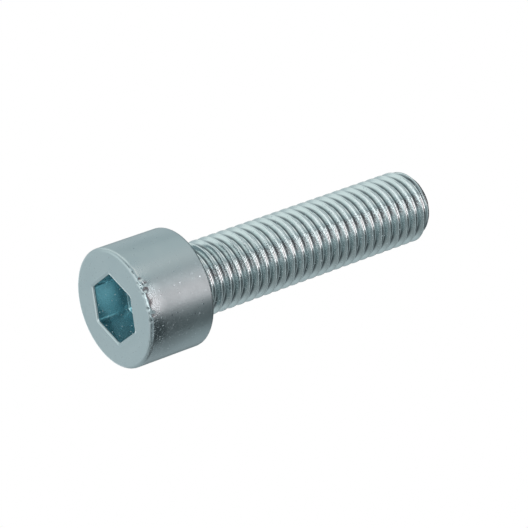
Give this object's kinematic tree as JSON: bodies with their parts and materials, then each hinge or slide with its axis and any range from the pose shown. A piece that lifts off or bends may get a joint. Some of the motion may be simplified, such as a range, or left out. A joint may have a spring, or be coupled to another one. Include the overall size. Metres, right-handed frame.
{
  "type": "socket head cap screw",
  "caption": "Hexagon socket head cap screw with a plain cylindrical head, right-hand thread up to the head and a chamfered end, for clamping parts to a tapped hole or nut.",
  "frame": {"origin": "centre of the bearing face under the head", "axes": "+Z along the screw's axis from the bearing face to the threaded end, so the screw stands on its head; two flats of the socket face +Y and -Y"},
  "size_m": [0.016, 0.016, 0.05],
  "materials": {
    "zinc_plated_steel": "bright zinc plating with a pale blue cast over cold-formed steel"
  },
  "bodies": {
    "root": {"cap_screw": "zinc_plated_steel"}
  },
  "joints": []
}
